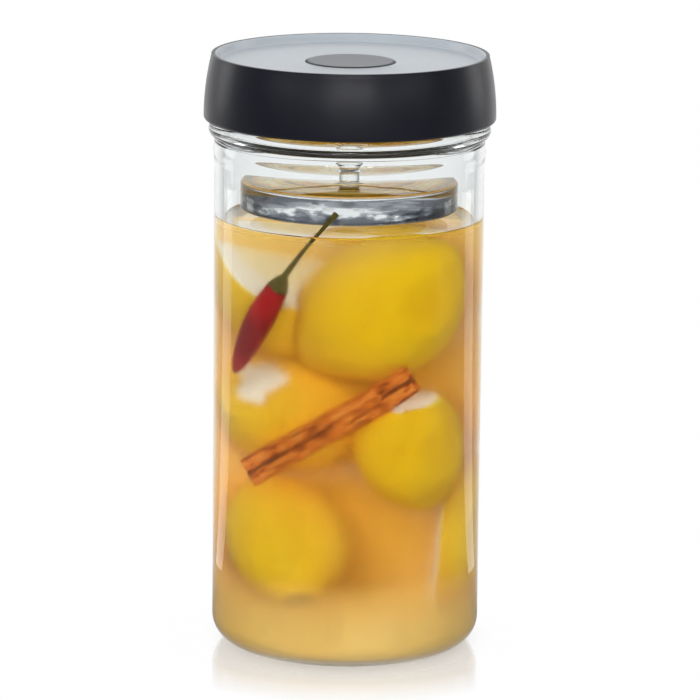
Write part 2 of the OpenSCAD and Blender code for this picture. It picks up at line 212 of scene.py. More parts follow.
def tube(name, centres, radii, mat, sides, lobes=None):
    """A closed tube along a line of points, with a radius at each point."""
    centres = [Vector(c) for c in centres]
    verts = []
    side = Vector((0, 1, 0))
    for i, c in enumerate(centres):
        ahead = centres[min(i + 1, len(centres) - 1)] - centres[max(i - 1, 0)]
        ahead.normalize()
        side = (side - ahead * side.dot(ahead)).normalized()
        up = ahead.cross(side)
        for k in range(sides):
            a = 2 * math.pi * k / sides
            r = radii[i] * (1 + (lobes(i, a) if lobes else 0))
            verts.append((c + side * (r * math.cos(a)) + up * (r * math.sin(a))) * MM)
    faces = [list(range(sides)), list(range(len(verts) - sides, len(verts)))]
    for i in range(len(centres) - 1):
        for k in range(sides):
            n = (k + 1) % sides
            faces.append([i * sides + k, i * sides + n, (i + 1) * sides + n, (i + 1) * sides + k])
    return add_mesh(name, verts, faces, mat, sharp=50)


def dress(obj, body, nodes=()):
    """A new piece rides on its body and stands for its nodes, which it hides."""
    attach(obj, body)
    if nodes:
        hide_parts(*nodes)
    return obj


# Material helpers
def new_material(name):
    mat = bpy.data.materials.new(name)
    mat.use_nodes = True
    return mat, mat.node_tree, mat.node_tree.nodes["Principled BSDF"]


def add_node(tree, kind, values=None, **settings):
    made = tree.nodes.new(kind)
    for key, value in settings.items():
        setattr(made, key, value)
    for key, value in (values or {}).items():
        made.inputs[key].default_value = value
    return made


def set_shader(shader, **values):
    for key, value in values.items():
        shader.inputs[key.replace("_", " ")].default_value = value


def object_place(tree):
    """Position in the object's own space, so that a pattern stays on the piece."""
    return add_node(tree, "ShaderNodeTexCoord").outputs["Object"]


def noise_at(tree, place, scale, detail, stretch=None):
    made = add_node(tree, "ShaderNodeTexNoise", {"Scale": scale, "Detail": detail})
    if stretch:
        turn = add_node(tree, "ShaderNodeMapping", {"Scale": stretch})
        tree.links.new(place, turn.inputs["Vector"])
        place = turn.outputs["Vector"]
    tree.links.new(place, made.inputs["Vector"])
    return made.outputs["Fac"]


def noise(tree, scale, detail, stretch=None):
    return noise_at(tree, object_place(tree), scale, detail, stretch)


def split_axes(tree, place):
    made = add_node(tree, "ShaderNodeSeparateXYZ")
    tree.links.new(place, made.inputs["Vector"])
    return made.outputs


def length(tree, place):
    made = add_node(tree, "ShaderNodeVectorMath", operation="LENGTH")
    tree.links.new(place, made.inputs[0])
    return made.outputs["Value"]


def from_axis(tree):
    """Distance from the jar's axis."""
    flat = add_node(tree, "ShaderNodeVectorMath", {1: (1, 1, 0)}, operation="MULTIPLY")
    tree.links.new(object_place(tree), flat.inputs[0])
    return length(tree, flat.outputs["Vector"])


def height(tree):
    """Height above the table."""
    return split_axes(tree, object_place(tree))["Z"]


def stored(tree, name, output="Fac"):
    """A value that the mesh carries at its points."""
    return add_node(tree, "ShaderNodeAttribute", attribute_name=name).outputs[output]


def calculate(tree, operation, *values):
    """A math node over sockets and plain numbers."""
    made = add_node(tree, "ShaderNodeMath", operation=operation)
    for socket, value in zip(made.inputs, values):
        if isinstance(value, float):
            socket.default_value = value
        else:
            tree.links.new(value, socket)
    return made.outputs["Value"]


def multiply(tree, a, b):
    return calculate(tree, "MULTIPLY", a, b)


def maximum(tree, a, b):
    return calculate(tree, "MAXIMUM", a, b)


def ramp(tree, fac, stops):
    """Colours along a factor, as (place, colour) stops."""
    made = add_node(tree, "ShaderNodeValToRGB")
    spots = made.color_ramp.elements
    while len(spots) < len(stops):
        spots.new(0.5)
    for spot, (place, colour) in zip(spots, stops):
        spot.position = place
        spot.color = (*colour, 1)
    tree.links.new(fac, made.inputs["Fac"])
    return made.outputs["Color"]


def mottle(tree, scale, detail, dark, light, stretch=None):
    """Noise between two colours."""
    return ramp(tree, noise(tree, scale, detail, stretch), [(0.3, dark), (0.7, light)])


def map_range(tree, value, low, high, to_low, to_high):
    limits = {"From Min": low, "From Max": high, "To Min": to_low, "To Max": to_high}
    made = add_node(tree, "ShaderNodeMapRange", limits)
    tree.links.new(value, made.inputs["Value"])
    return made.outputs["Result"]


def mix_colour(tree, fac, a, b):
    made = add_node(tree, "ShaderNodeMix", data_type="RGBA")
    for socket, value in ((made.inputs[0], fac), (made.inputs[6], a), (made.inputs[7], b)):
        if isinstance(value, tuple):
            socket.default_value = (*value, 1)
        else:
            tree.links.new(value, socket)
    return made.outputs[2]


def bump(tree, shader, relief, strength, distance):
    made = add_node(tree, "ShaderNodeBump", {"Strength": strength, "Distance": distance})
    tree.links.new(relief, made.inputs["Height"])
    tree.links.new(made.outputs["Normal"], shader.inputs["Normal"])


# Materials: bump distances are in metres
GLASS_IOR = 1.5
BRINE_IOR = 1.33
FINE_RELIEF = 0.0002
SKIN_RELIEF = 0.0004
BARK_RELIEF = 0.0006
STEEL_RELIEF = 0.0001


def jar_material():
    """Clear glass with a faint ripple."""
    mat, tree, shader = new_material("jar_glass")
    set_shader(shader, Base_Color=(0.93, 0.95, 0.95, 1), Specular_Tint=(0.35, 0.35, 0.35, 1))
    set_shader(shader, Roughness=0.0, IOR=GLASS_IOR, Transmission_Weight=1.0)
    bump(tree, shader, noise(tree, 35.0, 2.0), 0.04, SKIN_RELIEF)
    return mat


# Where the painted reflection on the weight's upright side and the painted amber image on its top begin and
# are full, in from its edge, top and knob
PAINTED_SIDE_SHEEN = (1.2, 0.3)
AMBER_IMAGE_TOP = (0.6, 0.2)
AMBER_IMAGE_KNOB = (2, 5)
PAINTED_SHEEN_RISE = (-0.24, 0.30)
AMBER_IMAGE_RINGS = 6.0
AMBER_IMAGE_CLEAR = 0.5


def weight_material():
    """Thick pressed glass: painted reflection and shade as dark and silvery streaks on its upright side, and
    a painted amber image of the brine below, seen through the glass, as rings on its top.
    """
    mat, tree, shader = new_material("weight_glass")
    set_shader(shader, Roughness=0.0, IOR=GLASS_IOR)
    reach = from_axis(tree)
    level = height(tree)
    # Painted reflection and shade: dark and silvery streaks on the upright side, lighter towards the top,
    # stand in for what the glass side reflects and refracts
    side = map_range(tree, reach, (WEIGHT_RAD - PAINTED_SIDE_SHEEN[0]) * MM, (WEIGHT_RAD - PAINTED_SIDE_SHEEN[1]) * MM, 0.0, 1.0)
    rise = map_range(tree, level, WEIGHT_Z * MM, WEIGHT_TOP * MM, *PAINTED_SHEEN_RISE)
    sheen_speck = calculate(tree, "ADD", noise(tree, 130.0, 7.0, (1, 1, 2.6)), rise)
    painted_sheen = ramp(tree, sheen_speck, [
        (0.36, (0.03, 0.034, 0.045)), (0.45, (0.20, 0.22, 0.25)), (0.53, (0.97, 0.98, 0.99))])
    clear_or_sheened = mix_colour(tree, side, (0.97, 0.985, 0.98), painted_sheen)
    # Painted reflection: amber rings on the top stand in for the brine's amber seen through the weight, and
    # the top lets less light through so that they show
    rings = add_node(tree, "ShaderNodeTexNoise", {"Scale": 1.0, "Detail": 1.5}, noise_dimensions="1D")
    tree.links.new(map_range(tree, reach, 0.0, WEIGHT_RAD * MM, 0.0, AMBER_IMAGE_RINGS), rings.inputs["W"])
    painted_amber_image = ramp(tree, rings.outputs["Fac"], [
        (0.36, (0.34, 0.22, 0.02)), (0.46, (0.93, 0.46, 0.02)),
        (0.54, (0.97, 0.70, 0.10)), (0.62, (0.98, 0.88, 0.50))])
    top = map_range(tree, level, (WEIGHT_TOP - AMBER_IMAGE_TOP[0]) * MM, (WEIGHT_TOP - AMBER_IMAGE_TOP[1]) * MM, 0.0, 1.0)
    off_knob = [(KNOB_NECK_R + gap) * MM for gap in AMBER_IMAGE_KNOB]
    amber_image_share = multiply(tree, top, map_range(tree, reach, *off_knob, 0.0, 1.0))
    tree.links.new(mix_colour(tree, amber_image_share, clear_or_sheened, painted_amber_image), shader.inputs["Base Color"])
    tree.links.new(map_range(tree, amber_image_share, 0.0, 1.0, 1.0, AMBER_IMAGE_CLEAR), shader.inputs["Transmission Weight"])
    bump(tree, shader, noise(tree, 60.0, 2.0), 0.15, SKIN_RELIEF)
    return mat


# The brine blurs what lies behind its side, and is clear at its surface
SURFACE = (2.4, 1.4)
MURKY = 0.34
STILL = 0.03


def brine_material():
    mat, tree, shader = new_material("brine")
    set_shader(shader, IOR=BRINE_IOR, Specular_Tint=(0, 0, 0, 1), Transmission_Weight=1.0)
    near_top = [(BRINE_Z - below) * MM for below in SURFACE]
    tree.links.new(map_range(tree, height(tree), *near_top, MURKY, STILL), shader.inputs["Roughness"])
    colour = mottle(tree, 28.0, 3.0, (0.98, 0.93, 0.78), (0.99, 0.95, 0.83))
    tree.links.new(colour, shader.inputs["Base Color"])
    return mat


def haze_colour(tree):
    """The cloudy brine's amber: pale where it settles, deepest half way up."""
    level = map_range(tree, height(tree), FLOOR_T * MM, BRINE_Z * MM, 0.0, 1.0)
    return ramp(tree, level, [
        (0.0, (0.84, 0.53, 0.10)), (0.20, (0.94, 0.50, 0.05)), (0.50, (0.91, 0.47, 0.02)),
        (0.85, (0.91, 0.50, 0.03)), (1.0, (0.90, 0.62, 0.14))])


CLOUD_THIN = (24, 4)
CLOUD_TOP = 0.55


def cloud_material():
    """Drifting cloud that thins out towards the glass and the surface."""
    mat, tree, shader = new_material("brine_cloud")
    set_shader(shader, Roughness=1.0, IOR=BRINE_IOR, Specular_IOR_Level=0.0)
    pale = map_range(tree, noise(tree, 22.0, 2.0), 0.35, 0.7, 0.0, 0.25)
    tree.links.new(mix_colour(tree, pale, haze_colour(tree), (1.0, 0.60, 0.10)), shader.inputs["Base Color"])
    clump = map_range(tree, noise(tree, 16.0, 2.0), 0.3, 0.7, 0.86, 1.0)
    fade = map_range(tree, from_axis(tree), CLOUD_FADE * MM, CLOUD_R * MM, 1.0, 0.0)
    near_top = [(BRINE_Z - below) * MM for below in CLOUD_THIN]
    top = map_range(tree, height(tree), *near_top, 1.0, CLOUD_TOP)
    tree.links.new(multiply(tree, multiply(tree, clump, fade), top), shader.inputs["Alpha"])
    return mat


def sediment_material():
    """Fine cloud that has settled on the jar's floor and thins out up the wall."""
    mat, tree, shader = new_material("brine_sediment")
    set_shader(shader, Roughness=1.0, IOR=BRINE_IOR, Specular_IOR_Level=0.0)
    tone = mottle(tree, 20.0, 2.0, (0.80, 0.50, 0.12), (0.84, 0.56, 0.17))
    tree.links.new(tone, shader.inputs["Base Color"])
    thin = map_range(tree, height(tree), SEDIMENT_FULL * MM, SEDIMENT_TOP * MM, 1.0, 0.0)
    thin.node.interpolation_type = "SMOOTHSTEP"
    tree.links.new(thin, shader.inputs["Alpha"])
    return mat


# Depths from the glass at which the brine begins to tint the food and has tinted it in full
HAZE_DEPTH = (3, 20)
CUT_HAZE = 0.15


def hazed(tree, colour, most):
    """A colour that turns to the brine's amber with depth from the glass."""
    depths = [(IN_R - deep) * MM for deep in HAZE_DEPTH]
    depth = map_range(tree, from_axis(tree), *depths, 0.0, 1.0)
    return mix_colour(tree, multiply(tree, depth, most), colour, haze_colour(tree))


def lemon_material():
    """Peel with a dark stalk scar, and on a cut face flesh, pith and the peel's edge."""
    mat, tree, shader = new_material("lemon")
    peel = mottle(tree, 45.0, 3.0, (0.80, 0.46, 0.001), (0.86, 0.55, 0.002))
    scar = ramp(tree, stored(tree, "along"), [
        (0.955, (1, 1, 1)), (0.975, (0.30, 0.26, 0.05)), (0.99, (0.08, 0.06, 0.03))])
    ended = add_node(tree, "ShaderNodeMix", {0: 1.0}, data_type="RGBA", blend_type="MULTIPLY")
    tree.links.new(peel, ended.inputs[6])
    tree.links.new(scar, ended.inputs[7])
    inner = ramp(tree, stored(tree, "across"), [
        (0.0, (0.92, 0.84, 0.55)), (0.50, (0.93, 0.85, 0.58)), (0.60, (0.96, 0.93, 0.84)),
        (0.94, (0.96, 0.93, 0.84)), (0.99, (0.88, 0.66, 0.03))])
    skin = hazed(tree, ended.outputs[2], stored(tree, "murk"))
    colour = mix_colour(tree, stored(tree, "cut_face"), skin, hazed(tree, inner, CUT_HAZE))
    tree.links.new(colour, shader.inputs["Base Color"])
    set_shader(shader, Roughness=0.5, Specular_IOR_Level=0.05)
    bump(tree, shader, noise(tree, 700.0, 2.0), 0.25, SKIN_RELIEF)
    return mat


def chilli_material():
    mat, tree, shader = new_material("chilli_skin")
    skin = ramp(tree, noise(tree, 90.0, 3.0, (1, 1, 0.4)), [
        (0.35, (0.20, 0.003, 0.004)), (0.65, (0.42, 0.005, 0.006))])
    tree.links.new(skin, shader.inputs["Base Color"])
    set_shader(shader, Roughness=0.28, Specular_IOR_Level=0.1)
    bump(tree, shader, noise(tree, 300.0, 2.0, (1, 1, 0.3)), 0.2, SKIN_RELIEF)
    return mat


def stalk_material():
    mat, tree, shader = new_material("chilli_stalk")
    colour = mottle(tree, 220.0, 4.0, (0.030, 0.026, 0.006), (0.13, 0.10, 0.018), (1, 1, 0.25))
    tree.links.new(colour, shader.inputs["Base Color"])
    set_shader(shader, Roughness=0.6, Specular_IOR_Level=0.1)
    bump(tree, shader, noise(tree, 700.0, 3.0, (1, 1, 0.2)), 0.5, SKIN_RELIEF)
    return mat


def cinnamon_material():
    """Bark streaked along the quill, dark in its seam and cracks."""
    mat, tree, shader = new_material("cinnamon_bark")
    place = stored(tree, "bark", "Vector")
    bark = ramp(tree, noise_at(tree, place, 0.55, 6.0, (1, 1, 0.35)), [
        (0.32, (0.25, 0.042, 0.003)), (0.48, (0.68, 0.165, 0.014)), (0.68, (0.84, 0.29, 0.045))])
    crack = map_range(tree, noise_at(tree, place, 0.9, 3.0, (1, 1, 0.12)), 0.36, 0.42, 0.75, 0.0)
    cracked = mix_colour(tree, crack, bark, (0.10, 0.016, 0.002))
    colour = mix_colour(tree, stored(tree, "seam"), cracked, (0.06, 0.010, 0.002))
    tree.links.new(colour, shader.inputs["Base Color"])
    set_shader(shader, Roughness=0.75, Specular_IOR_Level=0.05)
    bump(tree, shader, noise_at(tree, place, 1.3, 6.0, (1, 1, 0.3)), 0.9, BARK_RELIEF)
    return mat


def plastic_material(name, colour, rough, grain, scale=1800.0, level=0.5, spread=0.85, wear=0.08):
    """Moulded plastic. Spread and wear say how far its tone and its gloss vary."""
    mat, tree, shader = new_material(name)
    dim = tuple(c * spread for c in colour)
    tree.links.new(mottle(tree, 60.0, 3.0, dim, colour), shader.inputs["Base Color"])
    shine = map_range(tree, noise(tree, 140.0, 4.0), 0.3, 0.7, rough * (1 - wear), rough * (1 + wear))
    tree.links.new(shine, shader.inputs["Roughness"])
    set_shader(shader, Specular_IOR_Level=level)
    bump(tree, shader, noise(tree, scale, 2.0), grain, FINE_RELIEF)
    return mat


def smooth_grey(name):
    """The smooth grey of the lid's top."""
    return plastic_material(name, (0.31, 0.34, 0.37), 0.28, 0.01, 300.0, spread=0.98, wear=0.01)


BUTTON_PAINTED_SHADE = (0.9, 0.5)


def button_material():
    """Matt grey, with a painted shadow of the gap round the button darkening its rounded edge."""
    mat, tree, shader = new_material("button_grey")
    tone = mottle(tree, 60.0, 3.0, (0.10, 0.107, 0.12), (0.11, 0.118, 0.132))
    # Painted shadow: the rounded edge turns near black, as if shaded in the gap round the button
    near_shaded_edge = [(BUTTON_R - gap) * MM for gap in BUTTON_PAINTED_SHADE]
    edge = map_range(tree, from_axis(tree), *near_shaded_edge, 0.0, 1.0)
    tree.links.new(mix_colour(tree, edge, tone, (0.012, 0.013, 0.015)), shader.inputs["Base Color"])
    set_shader(shader, Roughness=0.42)
    bump(tree, shader, noise(tree, 1800.0, 2.0), 0.1, FINE_RELIEF)
    return mat


def silicone_material():
    mat, tree, shader = new_material("silicone")
    tone = mottle(tree, 120.0, 3.0, (0.70, 0.71, 0.70), (0.80, 0.81, 0.80))
    tree.links.new(tone, shader.inputs["Base Color"])
    set_shader(shader, Roughness=0.55)
    bump(tree, shader, noise(tree, 900.0, 2.0), 0.1, FINE_RELIEF)
    return mat


def steel_material():
    mat, tree, shader = new_material("steel")
    tone = mottle(tree, 500.0, 4.0, (0.55, 0.55, 0.56), (0.70, 0.70, 0.71), (1, 1, 6))
    tree.links.new(tone, shader.inputs["Base Color"])
    set_shader(shader, Metallic=1.0, Roughness=0.25)
    bump(tree, shader, noise(tree, 900.0, 2.0, (1, 1, 8)), 0.1, STEEL_RELIEF)
    return mat


JAR_GLASS = jar_material()
WEIGHT_GLASS = weight_material()
BRINE = brine_material()
CLOUD = cloud_material()
SEDIMENT = sediment_material()
LEMON = lemon_material()
CHILLI = chilli_material()
STALK = stalk_material()
CINNAMON = cinnamon_material()
LID_BLACK = plastic_material("lid_black", (0.006, 0.0065, 0.0105), 0.31, 0.10, level=0.27)
LID_RIM = smooth_grey("lid_rim")
LINER_GREY = plastic_material("liner_grey", (0.03, 0.03, 0.034), 0.42, 0.12)
PLATE_GREY = smooth_grey("plate_grey")
BUTTON_GREY = button_material()
SILICONE = silicone_material()
STEEL = steel_material()


# Glass jar, with its thread on the neck
BEAD_TOP = LID_BOT - BEAD_GAP
BEAD_MID = BEAD_TOP - BEAD_H / 2
SWELL_Z = BEAD_TOP - BEAD_H - SWELL_GAP - SWELL_HALF
THREAD_Z = BEAD_TOP + THREAD_W / 2 + THREAD_RUN_OUT
THREAD_TURN = (JAR_H - RIM_R - THREAD_W / 2 - THREAD_Z) / THREAD_LEAD * 2 * math.pi
THREAD_TAPER = math.radians(25)


def thread_shift(a, r, z):
    """How far the two ridges stand out of the neck at an angle and height."""
    if abs(r - NECK_R) > TINY:
        return 0
    most = 0
    for s in range(THREAD_STARTS):
        past = (a - 2 * math.pi * s / THREAD_STARTS) % (2 * math.pi)
        off = abs(z - THREAD_Z - past / (2 * math.pi) * THREAD_LEAD)
        side = (THREAD_W / 2 - off) / (THREAD_W / 2 - THREAD_CREST / 2)
        ends = min(past, THREAD_TURN - past) / THREAD_TAPER
        most = max(most, min(1, side, ends))
    return THREAD_DEPTH * most


def swell_outline():
    """The slight swell of the wall under the bead."""
    return [(BODY_R + SWELL * ease(2 * s), SWELL_Z + SWELL_HALF * (2 * s - 1)) for s in shares(24)]


def jar_outline():
    neck_top = JAR_H - RIM_R
    outer_wall = np.linspace(HEEL_R + 12, SWELL_Z - SWELL_HALF - 6, 8)
    inner_wall = np.linspace(SWELL_Z - 10, FLOOR_T + IN_HEEL_R + 10, 8)
    return (
        [(FOOT_R * s, PUNT_H * (1 - ease(s))) for s in shares(14)]
        + arc(BODY_R - HEEL_R, HEEL_R, HEEL_R, -90, 0, 20)
        + [(BODY_R, z) for z in outer_wall]
        + swell_outline()
        + arc(BEAD_R - BEAD_H / 2, BEAD_MID, BEAD_H / 2, -75, 90, 24)
        + [(NECK_R, BEAD_TOP + (neck_top - BEAD_TOP) * s) for s in shares(32)]
        + arc(NECK_R - RIM_R, neck_top, RIM_R, 0, 90, 8)[1:]
        + arc(MOUTH_R + RIM_R, neck_top, RIM_R, 90, 180, 8)
        + soft_step(MOUTH_R, IN_R, BEAD_TOP, SWELL_Z, 24)
        + [(IN_R, z) for z in inner_wall]
        + arc(IN_R - IN_HEEL_R, FLOOR_T + IN_HEEL_R, IN_HEEL_R, 0, -90, 14)
        + [(IN_R * s, FLOOR_T) for s in (0.6, 0.3, 0)]
    )


jar = lathe("jar", jar_outline(), JAR_GLASS, shift=thread_shift)
dress(jar, "jar", ["glass_jar"])
jar.visible_shadow = False


# Brine, which wets the glass: it reaches a hair into the wall so that no air shows between them
def brine_outline():
    level = BRINE_Z - MENISCUS
    wall = np.linspace(FLOOR_T + IN_HEEL_R + 8, BRINE_Z - 8, 10)
    return (
        [(0, FLOOR_T - WET), (IN_R * 0.4, FLOOR_T - WET)]
        + arc(IN_R - IN_HEEL_R, FLOOR_T + IN_HEEL_R, IN_HEEL_R + WET, -90, 0, 14)
        + [(IN_R + WET, z) for z in wall]
        + [(IN_R + WET - MENISCUS_W * s, BRINE_Z - MENISCUS * s ** 0.5) for s in shares(6)]
        + [(IN_R * 0.6, level), (0, level)]
    )


brine = lathe("brine_liquid", brine_outline(), BRINE)
dress(brine, "jar", ["brine"])
brine.visible_shadow = False


# Cloud in the brine: a soft veil through the axis, so that what lies beyond it fades
def make_cloud():
    low = (FLOOR_T + CLOUD_FOOT) * MM
    high = (BRINE_Z - MENISCUS - CLOUD_HEAD) * MM
    x = CLOUD_R * MM
    corners = [(-x, 0, low), (x, 0, low), (x, 0, high), (-x, 0, high)]
    dress(add_mesh("brine_cloud", corners, [[0, 1, 2, 3]], CLOUD), "jar")


make_cloud()


# Sediment, a thin film just inside the glass
def sediment_outline():
    floor_z = FLOOR_T + SEDIMENT_IN
    wall = np.linspace(FLOOR_T + IN_HEEL_R + 2, SEDIMENT_TOP, 6)
    return (
        [(0, floor_z), (IN_R * 0.5, floor_z)]
        + arc(IN_R - IN_HEEL_R, FLOOR_T + IN_HEEL_R, IN_HEEL_R - SEDIMENT_IN, -90, 0, 14)
        + [(IN_R - SEDIMENT_IN, z) for z in wall]
    )


sediment = lathe("brine_sediment", sediment_outline(), SEDIMENT)
dress(sediment, "jar")


# Glass weight with its knob
def weight_outline():
    head = KNOB_TOP - KNOB_ROUND
    return (
        [(0, WEIGHT_Z), (WEIGHT_RAD * 0.5, WEIGHT_Z)]
        + arc(WEIGHT_RAD - WEIGHT_ROUND, WEIGHT_Z + WEIGHT_ROUND, WEIGHT_ROUND, -90, 0, 10)
        + arc(WEIGHT_RAD - WEIGHT_ROUND, WEIGHT_TOP - WEIGHT_ROUND, WEIGHT_ROUND, 0, 90, 10)
        + arc(KNOB_NECK_R + KNOB_FOOT, WEIGHT_TOP + KNOB_FOOT, KNOB_FOOT, 270, 180, 10)
        + soft_step(KNOB_NECK_R, KNOB_R, WEIGHT_TOP + KNOB_FOOT + 1, head - 1, 12)
        + arc(KNOB_R - KNOB_ROUND, head, KNOB_ROUND, 0, 90, 10)
        + [(0, KNOB_TOP)]
    )


weight = lathe("weight", weight_outline(), WEIGHT_GLASS, steps=160)
dress(weight, "weight", ["glass_weight"])
weight.visible_shadow = False


# Lemons, each pressed by its neighbours, the glass and the weight as its solid is
LEMON_D = 46.0
LEMON_LEN = 61.0
LEMON_TIP = 0.12
LEMON_NOSE = 9
LEMON_VOXEL = 0.9
LEMON_SMOOTH = 6
WHOLE = (0, 0, 2)
# Place in shares of the inner radius and the fill, size, tilt, turn, cut and haze.
# A cut has a tilt, a turn and its distance from the middle in shares of the lemon's radius.
LEMONS = {
    "lemon_upper_right": ((0.25, -0.40, 0.797), 1.06, 50, -12, WHOLE, 0.75),
    "lemon_middle_right": ((0.456, -0.435, 0.476), 0.80, 14, 200, (12, 240, 0.95), 0.45),
    "lemon_lower_left": ((-0.40, -0.31, 0.245), 0.88, 138, 281, WHOLE, 0.8),
    "lemon_middle_left": ((-0.33, -0.02, 0.538), 0.94, 68, 203, (52, 222, 0.90), 0.85),
    "lemon_upper_left": ((-0.45, -0.01, 0.847), 0.98, 24, 120, (35, 285, 0.30), 0.6),
    "lemon_lower_right": ((0.62, 0.02, 0.246), 0.96, 14, 30, (86, 195, 0.15), 0.85),
    "lemon_upper_back": ((0.38, 0.45, 0.867), 0.92, 80, 330, WHOLE, 0.9),
    "lemon_middle_back": ((0.24, 0.50, 0.537), 0.94, 40, 100, WHOLE, 0.9),
    "lemon_lower_back": ((-0.14, 0.52, 0.216), 0.92, 78, 150, WHOLE, 0.9),
}
SCARRED = ("lemon_lower_left", "lemon_middle_back")
# Pared lemons: the radius of the white patch and the width of its soft border
PITHY = {"lemon_middle_left": (9.8, 3.4), "lemon_middle_right": (10.6, 1.0)}
PITH_FROM = 0.65
PARE_WAVE = 0.16
PARE_RIPPLE = 0.09
CUT_BACK = 0.9
CUT_SOFT = 0.6


def turned(tilt, turn):
    return Matrix.Rotation(math.radians(turn), 3, "Z") @ Matrix.Rotation(math.radians(tilt), 3, "Y")


def evened(node, name, voxel, smooth):
    """A copy of a node's mesh with even, soft faces."""
    obj = bpy.data.objects.new(name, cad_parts[node].data.copy())
    bpy.context.scene.collection.objects.link(obj)
    shape = bmesh.new()
    shape.from_mesh(obj.data)
    bmesh.ops.remove_doubles(shape, verts=shape.verts, dist=TINY)
    shape.to_mesh(obj.data)
    shape.free()
    even = obj.modifiers.new("even", "REMESH")
    even.mode = "VOXEL"
    even.voxel_size = voxel * MM
    soft = obj.modifiers.new("soft", "SMOOTH")
    soft.factor = 0.5
    soft.iterations = smooth
    done = bpy.data.meshes.new_from_object(obj.evaluated_get(bpy.context.evaluated_depsgraph_get()))
    obj.modifiers.clear()
    obj.data = done
    done.polygons.foreach_set("use_smooth", [True] * len(done.polygons))
    return obj


def add_value(mesh, name, values):
    made = mesh.attributes.new(name, "FLOAT", "POINT")
    made.data.foreach_set("value", np.asarray(values, np.float32))


def cut_share(points, reach, cut, r, node):
    """1 on a lemon's cut face and 0 on its peel. A pared patch has a soft, wavy border."""
    if node not in PITHY:
        return np.clip((reach - cut[2] * r + CUT_BACK) / CUT_SOFT, 0, 1)
    normal = np.array(turned(cut[0], cut[1]))[:, 2]
    off = points - np.outer(reach, normal)
    bearing = np.arctan2(off[:, 2], off[:, 0])
    wave = 1 + PARE_WAVE * np.sin(3 * bearing + 1) + PARE_RIPPLE * np.sin(7 * bearing)
    border, soft = PITHY[node]
    return np.clip((border * wave - np.linalg.norm(off, axis=1)) / soft, 0, 1) * (reach > 0)


def make_lemon(node, place, size, tilt, turn, cut, murk):
    obj = evened(node, node + "_fruit", LEMON_VOXEL, LEMON_SMOOTH)
    mesh = obj.data
    points = np.zeros(len(mesh.vertices) * 3)
    mesh.vertices.foreach_get("co", points)
    middle = np.array([place[0] * IN_R, place[1] * IN_R, FLOOR_T + place[2] * FILL_H])
    points = points.reshape(-1, 3) / MM - middle
    local = points @ np.array(turned(tilt, turn))
    half = LEMON_LEN * size / 2 / (1 + LEMON_TIP)
    r = LEMON_D * size / 2
    t = np.radians(np.linspace(0, 180, 91))
    heights = -half * np.cos(t) * (1 + LEMON_TIP * np.abs(np.cos(t)) ** LEMON_NOSE)
    outline = np.interp(local[:, 2], heights, r * np.sin(t))
    across = np.hypot(local[:, 0], local[:, 1]) / np.maximum(outline, 0.5)
    reach = points @ np.array(turned(cut[0], cut[1]))[:, 2]
    add_value(mesh, "across", np.clip(across, PITH_FROM if node in PITHY else 0, 1))
    along = np.clip((local[:, 2] - heights[0]) / (heights[-1] - heights[0]), 0, 1)
    add_value(mesh, "along", along if node in SCARRED else 0 * along)
    add_value(mesh, "cut_face", cut_share(points, reach, cut, r, node))
    add_value(mesh, "murk", np.full(len(reach), murk))
    mesh.materials.clear()
    mesh.materials.append(LEMON)
    return dress(obj, "jar", [node])


for lemon_node, row in LEMONS.items():
    make_lemon(lemon_node, *row)


# Chilli: a bowed pod, its calyx and its stalk
def polar(r, bearing, z):
    return Vector((r * math.cos(math.radians(bearing)), r * math.sin(math.radians(bearing)), z))


CHILLI_D = 10.4
POD_BLUNT = 0.8
POD_POINT = 0.35
POD_FILL = 6
POD_BOW = 1.2
POD_SWEEP = 150
POD_BELLY = 0.55
POD_LOBE = 0.025
POD_TWIST = 0.06
STALK_D = 2.2
STALK_BEND = 0.9
CALYX_LEN = 5.0
CALYX_R = CHILLI_D * 0.25
CALYX_CURVE = 0.6
CALYX_RIB = 0.10
CHILLI_TIP = polar(IN_R - 4.4, 205, FLOOR_T + 0.635 * FILL_H)
CHILLI_TOP = polar(IN_R - 5.6, 234, FLOOR_T + 0.852 * FILL_H)
CHILLI_END = polar((IN_R + WEIGHT_RAD) / 2, 264, WEIGHT_Z + 5)


def pod_radius(s):
    """Radius at a share of the pod's length, from its blunt tip."""
    belly = max(0, math.sin(math.radians(POD_SWEEP * s))) ** POD_BELLY
    return POD_BLUNT * min(1, POD_POINT + POD_FILL * s) + (CHILLI_D / 2 - POD_BLUNT) * belly


def stalk_radius(s):
    """Radius at a share of the stalk's length: slim in the middle, flared at its torn end."""
    slim = 0.45 * math.sin(math.pi * min(1, s * 0.8))
    return STALK_D / 2 * (1.05 - slim + 0.25 * s ** 10)


def make_chilli():
    line = CHILLI_TOP - CHILLI_TIP
    axis = line.normalized()
    inward = -Vector((CHILLI_TIP.x, CHILLI_TIP.y, 0)).normalized()
    side = axis.cross(inward)
    at = shares(48)
    centres = [CHILLI_TIP + line * s + side * (POD_BOW * math.sin(math.pi * s)) for s in at]

    def lobes(i, a):
        return POD_LOBE * math.sin(3 * a + POD_TWIST * i)

    pod = tube("chilli_skin", centres, [pod_radius(s) for s in at], CHILLI, 40, lobes)
    dress(pod, "jar", ["chilli_pod"])
    foot = CHILLI_TOP + axis * CALYX_LEN
    path = [CHILLI_TOP + axis * (CALYX_LEN * s) for s in shares(12)]
    widths = [CALYX_R * (1 - s) ** CALYX_CURVE + STALK_D * 0.55 for s in shares(12)]
    calyx = len(path)
    run = CHILLI_END - foot
    for s in shares(28)[1:]:
        path.append(foot + run * s + side * (STALK_BEND * math.sin(math.pi * s)))
        widths.append(stalk_radius(s))

    def ribs(i, a):
        return CALYX_RIB * math.sin(5 * a) * max(0, 1 - i / calyx)

    stalk = tube("chilli_stalk", path, widths, STALK, 30, ribs)
    dress(stalk, "jar", ["chilli_stem"])


make_chilli()


